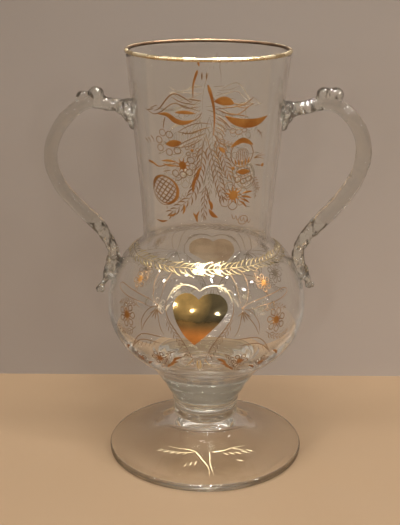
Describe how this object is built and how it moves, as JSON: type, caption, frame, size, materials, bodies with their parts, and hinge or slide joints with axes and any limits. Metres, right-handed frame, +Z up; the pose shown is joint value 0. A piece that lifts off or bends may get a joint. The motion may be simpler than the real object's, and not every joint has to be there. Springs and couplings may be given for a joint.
{
  "type": "two-handled vase",
  "caption": "Footed vase of clear blown glass with a squat round bowl, a tall flaring neck, two bowed side handles and a gilt lip.",
  "frame": {"origin": "middle of the foot, on the plane that the foot stands on", "axes": "+Z up along the axis that the foot, bowl and neck are turned about; the handles lie in the XZ plane, the right one on +X; the decorated front faces -Y"},
  "size_m": [0.191, 0.1206, 0.25],
  "materials": {
    "clear_glass": "clear, faintly green-grey, fire-polished",
    "gilding": "burnished fired gilding"
  },
  "bodies": {
    "root": {"foot": "clear_glass", "collar": "clear_glass", "stem": "clear_glass", "vessel": "clear_glass", "left_handle": "clear_glass", "right_handle": "clear_glass", "rim_gilding": "gilding"}
  },
  "joints": []
}
